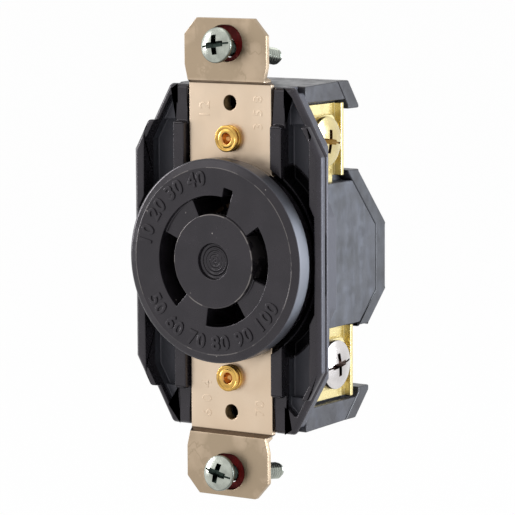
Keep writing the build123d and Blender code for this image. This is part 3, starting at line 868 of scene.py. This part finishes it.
def face_mesh(sizes):
    """The round face, built on a grid of rings and angles so that every slot has true walls."""
    low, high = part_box("face")
    rim, front, back = high.x / MM, low.y / MM, high.y / MM
    hub, channel, key = sizes.hub_r / MM, sizes.channel_r / MM, sizes.key_r / MM
    recess = sizes.recess_r / MM
    neck, bevel_width, groove_width, groove_depth = 15.0, 1.85, 0.28, 0.32
    rim_back, under = -2.4, rim - 0.6
    ring_middle, ring_height = sizes.bridge_sink / MM - 0.1, 0.13
    sunk = front + sizes.bridge_sink / MM
    rings = [recess, hub, hub + groove_width, channel, key, rim - bevel_width]
    # Each cell of the grid lies at one of four levels
    levels = [front, front + groove_depth, sunk, back]
    top, groove, bridge, through = range(4)

    def level_of(radius, angle):
        if hub < radius < key and within(angle, KEY_SLOT):
            return through
        if hub < radius < channel and any(within(angle, span) for span in BLADE_SLOTS):
            return through
        if hub < radius < channel and any(within(angle, span) for span in SUNK_BRIDGES):
            return bridge
        if hub < radius < hub + groove_width and within(angle, FLUSH_GROOVE):
            return groove
        return top

    # Even steps round the face, apart from those too near to a slot's end
    ends = {end % 360.0 for span in (*BLADE_SLOTS, KEY_SLOT, *SUNK_BRIDGES, FLUSH_GROOVE) for end in span}
    steps = [step * 2.5 for step in range(144)]
    apart = {step for step in steps if all(abs((step - end + 180) % 360 - 180) > 0.9 for end in ends)}
    angles = sorted(ends | apart)
    count = len(angles)
    bm = bmesh.new()
    store = {}

    def corner(radius, angle_index, y):
        spot = (round(radius, 4), angle_index % count if radius else 0, round(y, 4))
        if spot not in store:
            turn = math.radians(angles[angle_index % count])
            store[spot] = bm.verts.new((radius * math.cos(turn) * MM, y * MM, radius * math.sin(turn) * MM))
        return store[spot]

    def patch(*spots):
        corners = list(dict.fromkeys(corner(*spot) for spot in spots))
        if len(corners) > 2:
            bm.faces.new(corners)

    def band(step, one, two):
        """One step of the strip between two circles, each (radius, y)."""
        (one_r, one_y), (two_r, two_y) = one, two
        patch((one_r, step, one_y), (one_r, step + 1, one_y), (two_r, step + 1, two_y), (two_r, step, two_y))

    def level_at(ring, step):
        span = (angles[(step + 1) % count] - angles[step]) % 360.0
        return level_of((rings[ring] + rings[ring + 1]) / 2, angles[step] + span / 2)

    cells = [[level_at(ring, step) for step in range(count)] for ring in range(len(rings) - 1)]
    for ring, row in enumerate(cells):
        inner, outer = rings[ring], rings[ring + 1]
        for step, level in enumerate(row):
            if level < through:
                band(step, (inner, levels[level]), (outer, levels[level]))
                if hub <= inner < key:
                    band(step, (inner, back), (outer, back))
            if ring:
                beside = cells[ring - 1][step]
                for wall in range(min(level, beside), max(level, beside)):
                    band(step, (inner, levels[wall]), (inner, levels[wall + 1]))
            before = row[step - 1]
            for wall in range(min(level, before), max(level, before)):
                y, deeper = levels[wall], levels[wall + 1]
                patch((inner, step, y), (outer, step, y), (outer, step, deeper), (inner, step, deeper))
    # The bead, the rounded rim, the barrel with its undercut, and the neck in the housing
    outline = [
        (rings[-1], front),
        (rim - 1.78, front - 0.07),
        (rim - 1.60, front - 0.07),
        (rim - 1.50, front + 0.03),
        (rim - 0.60, front + 0.18),
        (rim - 0.25, front + 0.30),
        (rim - 0.06, front + 0.46),
        (rim, front + 0.66),
        (rim, rim_back),
        (under, rim_back),
        (under, 0.0),
        (neck, 0.0),
        (neck, back),
        (key, back),
    ]
    # The recess, whose floor rises and falls in rings
    pitch = sizes.ring_pitch / MM
    bowl = [(recess, front), (recess, sunk)]
    radius = recess - 0.1
    while radius > 0.05:
        bowl.append((radius, front + ring_middle + ring_height * math.cos(2 * math.pi * radius / pitch)))
        radius -= pitch / 8
    bowl.append((0.0, front + ring_middle + ring_height))
    for line in (outline, bowl, [(hub, back), (0.0, back)]):
        for one, two in zip(line, line[1:]):
            for step in range(count):
                band(step, one, two)

    def outside_bowl(edge):
        """True away from the recess and from the rim, whose profiles are round already."""
        reach = min(math.hypot(vert.co.x, vert.co.z) / MM for vert in edge.verts)
        if reach > rim - bevel_width - 0.01 and edge.verts[0].co.y < (front + 0.7) * MM:
            return False
        return reach > recess - 0.05

    bmesh.ops.recalc_face_normals(bm, faces=bm.faces)
    mark_hard_edges(bm, FACE_SHARP, outside_bowl)
    return mesh_from(bm, "face_dressed")


class RECEPTACLE_OT_build_face(bpy.types.Operator):
    """Build the round face with its slots, hub and rings"""

    bl_idname = "receptacle.build_face"
    bl_label = "Build Face"

    def execute(self, context):
        sizes = context.scene.receptacle_sizes
        piece = bare_object("face_dressed", face_mesh(sizes))
        round_edges(piece, FACE_EDGE, 3)
        hand_over(piece, face_plastic(), "black_plastic", "face")
        return {"FINISHED"}


def number_band(name, text, size, height, boldness):
    """Raised plain numbers lying in the X-Y plane and standing up along Z, as a plain mesh."""
    letters = bpy.data.curves.new(name, "FONT")
    letters.body = text
    letters.size = size
    letters.space_character = 1.12
    letters.align_x = "CENTER"
    letters.align_y = "CENTER"
    letters.resolution_u = 3
    letters.bevel_depth = 0.3 * height
    letters.bevel_resolution = 1
    letters.extrude = 0.7 * height
    letters.offset = boldness
    carrier = bare_object(name, letters)
    mesh = frozen(carrier)
    bpy.data.objects.remove(carrier)
    bpy.data.curves.remove(letters)
    bm = bmesh.new()
    bm.from_mesh(mesh)
    bpy.data.meshes.remove(mesh)
    bmesh.ops.remove_doubles(bm, verts=bm.verts, dist=1e-6)
    return mesh_from(bm, name)


class RECEPTACLE_OT_build_numbers(bpy.types.Operator):
    """Build the raised plain numbers round the face and on the strap"""

    bl_idname = "receptacle.build_numbers"
    bl_label = "Build Numbers"

    def execute(self, context):
        sizes = context.scene.receptacle_sizes
        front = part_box("face")[0].y
        size, boldness, stamp_height = 3.9 * MM, 0.05 * MM, 0.05 * MM
        # Each arc's text, its middle in degrees and the way that it is read
        arcs = (("10 20 30 40", 134.0, -1.0), ("50 60 70 80 90 100", 270.0, 1.0))
        for number, (label, middle, way) in enumerate(arcs):
            band = number_band("numbers", label, size, sizes.mark_height, boldness)
            values = {"Radius": NUMBERS_R, "Depth": front, "Middle Angle": math.radians(middle), "Way": way}
            values["Material"] = face_plastic()
            ring = grown(f"face_numbers_{number + 1}", arc_tree(), band, values)
            stay_sharp(ring, RIDGE_SHARP)
            hand_over(bare_object(ring.name, ring), face_plastic(), "black_plastic")
        # Each stamp's text, size and place on the strap, in millimetres
        stamps = (
            ("12", 3.4, -5.8, 28.6),
            ("3 5 8", 2.9, 6.6, 28.4),
            ("6 0 4", 3.2, -5.7, -27.9),
            ("70", 3.0, 6.7, -28.9),
        )
        for number, (label, size, x, z) in enumerate(stamps):
            band = number_band("stamp", label, size * MM, stamp_height, 0.0)
            upright = Matrix.Rotation(math.pi / 2, 4, "X") @ Matrix.Rotation(math.pi / 2, 4, "Z")
            band.transform(Matrix.Translation((x * MM, 0.0, z * MM)) @ upright)
            hand_over(bare_object(f"strap_numbers_{number + 1}", band), strap_plating(), "strap_plating")
        return {"FINISHED"}


# Housings, strap and stamped parts


class RECEPTACLE_OT_build_housings(bpy.types.Operator):
    """Build the front housing, the terminal housing and the rear cover"""

    bl_idname = "receptacle.build_housings"
    bl_label = "Build Housings"

    def execute(self, context):
        width = context.scene.receptacle_sizes.plastic_edge
        rounded_solid("front_housing", width, front_plastic(), "black_plastic")
        for node, share in (("terminal_housing", 1.0), ("rear_cover", 0.6)):
            rounded_solid(node, width, body_plastic(node + "_plastic", share), "black_plastic")
        return {"FINISHED"}


class RECEPTACLE_OT_build_strap(bpy.types.Operator):
    """Build the mounting strap"""

    bl_idname = "receptacle.build_strap"
    bl_label = "Build Strap"

    def execute(self, context):
        width = context.scene.receptacle_sizes.sheet_edge
        rounded_solid("mounting_strap", width, strap_plating(), "strap_plating")
        # Tapped threads in the two wall plate holes, as turned ridges
        pitch, valley_r, ridge_r = 0.4, 1.49, 1.32
        profile = [(1.6, 2.15), (1.6, 0.08)]
        for ridge in range(5):
            y = 0.1 + pitch * ridge
            profile += [(valley_r, y), (ridge_r, y + pitch / 2), (valley_r, y + pitch)]
        brass = plain_metal("plate_hole_brass", PLATE_HOLE, 0.35, 0.5, 0.4)
        for level, z in (("top", PLATE_SCREW_Z), ("bottom", -PLATE_SCREW_Z)):
            turned_piece("plate_hole_" + level, profile, RIDGE_SHARP, z, brass, "rivet_brass", segments=40)
        return {"FINISHED"}


class RECEPTACLE_OT_build_terminals(bpy.types.Operator):
    """Build the terminal plates, their clamps and the ground clip"""

    bl_idname = "receptacle.build_terminals"
    bl_label = "Build Terminals"

    def execute(self, context):
        colours = context.scene.receptacle_colours
        width = context.scene.receptacle_sizes.sheet_edge
        plate = plain_metal("terminal_brass", colours.brass, 0.24, 0.38, 0.7)
        bronze = plain_metal("contact_bronze_dressed", colours.bronze, 0.25, 0.4)
        for corner in ("upper_right", "upper_left", "lower_right", "lower_left"):
            rounded_solid("terminal_plate_" + corner, width, plate, "brass")
            rounded_solid("clamp_" + corner, width, plate, "brass")
        rounded_solid("ground_clip", 0.5 * width, bronze, "contact_bronze")
        for side in ("top", "left", "bottom", "right"):
            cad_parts["contact_" + side].material_slots[0].material = bronze
        return {"FINISHED"}


# Fasteners


def recessed_head(name, sizes, spin):
    """A domed screw head with a slot and a cross in it; its underside lies on y = 0.

    A mesh attribute marks painted shade on the walls of the recess, on the side and on the darker middle of
    the head.
    """
    radius, height, crown, slot_width, span, width = sizes
    steps = 7
    sphere = (radius**2 + crown**2) / (2 * crown)

    def dome(reach):
        return -height + sphere - math.sqrt(sphere**2 - reach**2)

    profile = [(0.0, -height)]
    for step in range(1, steps + 1):
        reach = (radius - 0.18) * step / steps
        profile.append((reach, dome(reach)))
    edge = profile[-1][1]
    profile += [(radius - 0.05, edge + 0.08), (radius, edge + 0.22), (radius, -0.12)]
    profile += [(radius - 0.1, 0.0), (0.0, 0.0)]
    body = turned(name, profile)
    slot_ends = (1.9 * radius, slot_width), (1.75 * radius, slot_width * 0.85)
    cutters = [tapered_bar(name + "_slot", *slot_ends, min(0.5 * height, 0.8))]
    for turn in (0.0, math.pi / 2):
        arm = tapered_bar(name + "_arm", (span * 1.3, width * 1.1), (span * 0.35, width * 0.6), 0.86 * height)
        arm.transform(Matrix.Rotation(turn, 4, "Y"))
        cutters.append(arm)
    for cutter in cutters:
        cutter.transform(Matrix.Rotation(spin, 4, "Y"))
        cutter.transform(Matrix.Translation((0.0, -height * MM, 0.0)))
    head = carved(name, body, cutters)
    grime = head.attributes.new("grime", "FLOAT", "CORNER")
    for polygon in head.polygons:
        across = math.hypot(polygon.center.x, polygon.center.z) / MM
        depth = polygon.center.y / MM
        hidden = across < radius - 0.2 and dome(across) + 0.06 < depth < -0.02
        side = 0.55 if across > radius - 0.12 and depth > -0.9 * height else 0.0
        for loop in polygon.loop_indices:
            spot = head.vertices[head.loops[loop].vertex_index].co
            reach = math.hypot(spot.x, spot.z) / MM
            middle = 0.35 * (1.0 - reach / (0.85 * radius))
            grime.data[loop].value = 1.0 if hidden else max(middle, side, 0.0)
    stay_sharp(head, SCREW_SHARP)
    return head


def threaded_piece(name, head, material, slot, nodes, values):
    """Screws made from a head by the screw tree, handed over for their nodes."""
    sizes = bpy.context.scene.receptacle_sizes
    thread = {"Thread Depth": sizes.thread_depth, "Pitch": sizes.thread_pitch, "Material": material}
    mesh = grown(name, screw_tree(), head, {**thread, **values})
    stay_sharp(mesh, SCREW_SHARP)
    hand_over(bare_object(name, mesh), material, slot, *nodes)


class RECEPTACLE_OT_build_box_screws(bpy.types.Operator):
    """Build the two captive box screws and the washers that hold them"""

    bl_idname = "receptacle.build_box_screws"
    bl_label = "Build Box Screws"

    def execute(self, context):
        sizes = context.scene.receptacle_sizes
        zinc = screw_zinc()
        head_front, length = -5.5 * MM, 20.8 * MM
        turns = {"top": (sizes.top_droop, -9.0), "bottom": (sizes.bottom_droop, 14.0)}
        for level, (droop, spin) in turns.items():
            # The head's upper edge is the highest point of the hanging screw
            top_edge = (BOX_HEAD.radius * math.cos(droop) - BOX_HEAD.crown * math.sin(droop)) * MM
            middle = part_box("box_screw_" + level)[1].z - top_edge
            head = recessed_head("box_screw_head_" + level, BOX_HEAD, math.radians(spin))
            under = Vector((0.0, math.cos(droop), -math.sin(droop))) * BOX_HEAD.height * MM
            values = {
                "Thread Radius": BOX_THREAD_R,
                "Shank Length": length,
                "Rows": 234,
                "Start": Vector((0.0, head_front, middle)) + under,
                "Turn": (-droop, 0.0, 0.0),
            }
            node = "box_screw_" + level
            threaded_piece("box_screw_dressed_" + level, head, zinc, "screw_zinc", [node], values)
            # The upper washer is cut a little wide, so that it fills its ear's slot
            low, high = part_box("fibre_washer_" + level)
            bore, edge, bevel = 1.9, 4.85 if level == "top" else 4.4, 0.12
            near, far = low.y / MM, high.y / MM
            rim = [(edge - bevel, near), (edge, near + bevel), (edge, far - bevel), (edge - bevel, far)]
            profile = [(bore, near), *rim, (bore, far)]
            name, node, z = "fibre_washer_dressed_" + level, "fibre_washer_" + level, (low.z + high.z) / 2
            turned_piece(name, profile, SCREW_SHARP, z, red_fibre(), "red_fibre", node)
        return {"FINISHED"}


class RECEPTACLE_OT_build_terminal_screws(bpy.types.Operator):
    """Build the four terminal screws in their colours"""

    bl_idname = "receptacle.build_terminal_screws"
    bl_label = "Build Terminal Screws"

    def execute(self, context):
        colours = context.scene.receptacle_colours
        brass = plain_metal("screw_brass", colours.brass, 0.16, 0.28, 0.8, (0.26, 0.15, 0.04))
        silver = plain_metal("screw_silver", colours.silver, 0.15, 0.27, 0.85, (0.14, 0.10, 0.09))
        green = plain_metal("screw_green", colours.green, 0.25, 0.38, 0.8)
        kinds = {
            "upper_right": (brass, "brass", 8.0),
            "upper_left": (green, "green_screw", 55.0),
            "lower_right": (silver, "silver_screw", -8.0),
            "lower_left": (brass, "brass", 70.0),
        }
        for corner, (material, slot, spin) in kinds.items():
            low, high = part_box("terminal_screw_" + corner)
            side = 1 if corner.endswith("right") else -1
            middle = (low + high) / 2
            head = recessed_head("terminal_head_" + corner, TERMINAL_HEAD, math.radians(spin))
            tip, top = (low.x, high.x) if side > 0 else (high.x, low.x)
            under = top - side * TERMINAL_HEAD.height * MM
            values = {
                "Thread Radius": TERMINAL_THREAD_R,
                "Shank Length": abs(under - tip),
                "Rows": 84,
                "Start": (under, middle.y, middle.z),
                "Turn": (0.0, 0.0, side * math.pi / 2),
            }
            node = "terminal_screw_" + corner
            threaded_piece("terminal_screw_dressed_" + corner, head, material, slot, [node], values)
        return {"FINISHED"}


# A rivet's rolled head: its bore, lip, groove, crown and two collars, as (radius, y) in millimetres
RIVET_HEAD = (
    (0.0, -0.15), (0.45, -0.2), (0.72, -0.45), (0.86, -0.9), (1.02, -1.28), (1.20, -1.44), (1.42, -1.5),
    (1.66, -1.46), (1.80, -1.36), (1.95, -1.34), (2.10, -1.44), (2.36, -1.5), (2.52, -1.45), (2.6, -1.33),
    (2.6, -1.12), (2.5, -1.0), (2.15, -0.98), (2.15, -0.55), (2.5, -0.52), (2.6, -0.42), (2.6, -0.02),
)


class RECEPTACLE_OT_build_rivets(bpy.types.Operator):
    """Build the two tubular rivets"""

    bl_idname = "receptacle.build_rivets"
    bl_label = "Build Rivets"

    def execute(self, context):
        for level in ("top", "bottom"):
            low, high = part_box("rivet_" + level)
            back = high.y / MM
            seat = back - 0.8
            shank = [(1.6, 0.0), (1.6, seat), (2.55, seat), (2.6, seat + 0.15), (2.45, seat + 0.6)]
            rolled = [(2.1, back), (1.35, back), (1.05, back - 0.2), (0.95, back - 0.5)]
            bore = [(0.95, 0.4), (0.0, 0.4)]
            profile = [*RIVET_HEAD, *shank, *rolled, *bore]
            name, node, z = "rivet_dressed_" + level, "rivet_" + level, (low.z + high.z) / 2
            turned_piece(name, profile, RIVET_SHARP, z, rivet_brass(), "rivet_brass", node)
        return {"FINISHED"}


class RECEPTACLE_OT_build_body_screws(bpy.types.Operator):
    """Build the two body screws that go in from the back"""

    bl_idname = "receptacle.build_body_screws"
    bl_label = "Build Body Screws"

    def execute(self, context):
        nodes = ["body_screw_left", "body_screw_right"]
        low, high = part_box(nodes[0])
        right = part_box(nodes[1])[1]
        head = recessed_head("body_screw_head", BODY_HEAD, math.radians(35.0))
        seat = high.y - BODY_HEAD.height * MM
        first = Vector(((low.x + high.x) / 2, seat, (low.z + high.z) / 2))
        values = {
            "Thread Radius": BODY_THREAD_R,
            "Thread Depth": 0.8 * context.scene.receptacle_sizes.thread_depth,
            "Shank Length": seat - low.y,
            "Rows": 240,
            "Count": 2,
            "Start": first,
            "Spacing": (right.x - high.x, 0.0, 0.0),
            "Turn": (0.0, 0.0, math.pi),
        }
        threaded_piece("body_screws_dressed", head, screw_zinc(), "screw_zinc", nodes, values)
        return {"FINISHED"}


# Stage


def softbox(name, place, size, level, colour):
    """An even area lamp aimed at the device, whose brightness is given as a level of white."""
    lamp = bpy.data.lights.new(name, "AREA")
    lamp.shape = "RECTANGLE"
    lamp.size, lamp.size_y = size
    lamp.energy = level * math.pi * size[0] * size[1]
    lamp.color = colour
    holder = bare_object(name, lamp)
    holder.location = place
    holder.rotation_euler = (-Vector(place)).to_track_quat("-Z", "Y").to_euler()
    holder.visible_camera = False


def split_view(tree, lighting, seen, share, surface):
    """Lets one shader light the surfaces, and shows a share of another to the camera and in mirrors."""
    path = add_node(tree, "ShaderNodeLightPath").outputs
    mirrored = math_node(tree, "MAXIMUM", path["Is Glossy Ray"], path["Is Transmission Ray"])
    direct = math_node(tree, "MAXIMUM", path["Is Camera Ray"], mirrored)
    inputs = {0: direct * share, 1: lighting.outputs[0], 2: seen.outputs[0]}
    feed(add_node(tree, "ShaderNodeMixShader", inputs).outputs[0], surface)


class RECEPTACLE_OT_build_stage(bpy.types.Operator):
    """Set up the floor, the light and the camera"""

    bl_idname = "receptacle.build_stage"
    bl_label = "Build Stage"

    def execute(self, context):
        scene = context.scene
        studio = scene.receptacle_studio
        floor_half, floor_shown, floor_grey = 15.0, 0.975, (0.9, 0.9, 0.9, 1.0)
        bm = bmesh.new()
        bmesh.ops.create_grid(bm, x_segments=1, y_segments=1, size=floor_half)
        bmesh.ops.translate(bm, verts=bm.verts, vec=(0.0, 0.0, -studio.floor_drop))
        floor = bare_object("floor", mesh_from(bm, "floor"))
        paint, tree, shader = blank_material("floor_white")
        feed_all(shader, {"Base Color": floor_grey, "Roughness": 0.9})
        glow = add_node(tree, "ShaderNodeEmission")
        split_view(tree, shader, glow, floor_shown, tree.nodes["Material Output"].inputs["Surface"])
        floor.data.materials.append(paint)

        world = bpy.data.worlds.new("studio")
        world.use_nodes = True
        tree = world.node_tree
        even = tree.nodes["Background"]
        feed_all(even, {"Color": WHITE, "Strength": studio.ambient})
        white = add_node(tree, "ShaderNodeBackground", {"Color": WHITE})
        split_view(tree, even, white, 1.0, tree.nodes["World Output"].inputs["Surface"])
        scene.world = world

        # Each lamp's place, size, level and colour
        softbox("softbox_right", (0.86, 0.40, 0.12), (0.5, 0.6), 15.0, (0.86, 0.92, 1.0))
        softbox("softbox_left", (-0.95, -0.30, 0.25), (0.14, 0.7), 13.0, (1.0, 0.97, 1.0))
        softbox("softbox_top", (-0.1, -0.15, 0.9), (0.6, 0.6), 1.4, (1.0, 0.98, 0.95))
        softbox("softbox_front", (-0.6, -0.8, 0.45), (0.5, 0.5), 0.9, (1.0, 0.98, 0.96))

        # The camera's own axes, turned about its line of sight
        turn, rise, roll = studio.azimuth, studio.elevation, studio.roll
        back = Vector((math.sin(turn) * math.cos(rise), -math.cos(turn) * math.cos(rise), math.sin(rise)))
        right = Vector((math.cos(turn), math.sin(turn), 0.0))
        up = back.cross(right)
        across = math.cos(roll) * right + math.sin(roll) * up
        above = math.cos(roll) * up - math.sin(roll) * right
        camera = bpy.data.cameras.new("camera")
        camera.lens = studio.lens
        camera.sensor_width = 36.0
        camera.clip_start = 0.01
        camera.clip_end = 100.0
        holder = bare_object("camera", camera)
        turned_to = Matrix((across, above, back)).transposed().to_4x4()
        holder.matrix_world = Matrix.Translation(Vector(studio.aim) + studio.distance * back) @ turned_to
        scene.camera = holder
        scene.view_settings.view_transform = "Standard"
        return {"FINISHED"}


class RECEPTACLE_PT_panel(bpy.types.Panel):
    bl_idname = "RECEPTACLE_PT_panel"
    bl_label = "Receptacle"
    bl_space_type = "VIEW_3D"
    bl_region_type = "UI"
    bl_category = "Receptacle"

    def draw(self, context):
        layout = self.layout
        scene = context.scene
        for group in (scene.receptacle_sizes, scene.receptacle_colours, scene.receptacle_studio):
            box = layout.box()
            for label in group.__annotations__:
                box.prop(group, label)
        for operator in OPERATORS:
            layout.operator(operator.bl_idname)


OPERATORS = (
    RECEPTACLE_OT_build_stage,
    RECEPTACLE_OT_build_face,
    RECEPTACLE_OT_build_numbers,
    RECEPTACLE_OT_build_housings,
    RECEPTACLE_OT_build_strap,
    RECEPTACLE_OT_build_terminals,
    RECEPTACLE_OT_build_box_screws,
    RECEPTACLE_OT_build_terminal_screws,
    RECEPTACLE_OT_build_rivets,
    RECEPTACLE_OT_build_body_screws,
)
CLASSES = (ReceptacleSizes, ReceptacleColours, StudioSettings, *OPERATORS, RECEPTACLE_PT_panel)


def register():
    for item in CLASSES:
        bpy.utils.register_class(item)
    bpy.types.Scene.receptacle_sizes = bpy.props.PointerProperty(type=ReceptacleSizes)
    bpy.types.Scene.receptacle_colours = bpy.props.PointerProperty(type=ReceptacleColours)
    bpy.types.Scene.receptacle_studio = bpy.props.PointerProperty(type=StudioSettings)


def unregister():
    del bpy.types.Scene.receptacle_studio
    del bpy.types.Scene.receptacle_colours
    del bpy.types.Scene.receptacle_sizes
    for item in reversed(CLASSES):
        bpy.utils.unregister_class(item)


def main():
    """Builds the stage and every piece."""
    register()
    bpy.ops.receptacle.build_stage()
    bpy.ops.receptacle.build_face()
    bpy.ops.receptacle.build_numbers()
    bpy.ops.receptacle.build_housings()
    bpy.ops.receptacle.build_strap()
    bpy.ops.receptacle.build_terminals()
    bpy.ops.receptacle.build_box_screws()
    bpy.ops.receptacle.build_terminal_screws()
    bpy.ops.receptacle.build_rivets()
    bpy.ops.receptacle.build_body_screws()


if __name__ == "__main__":
    main()
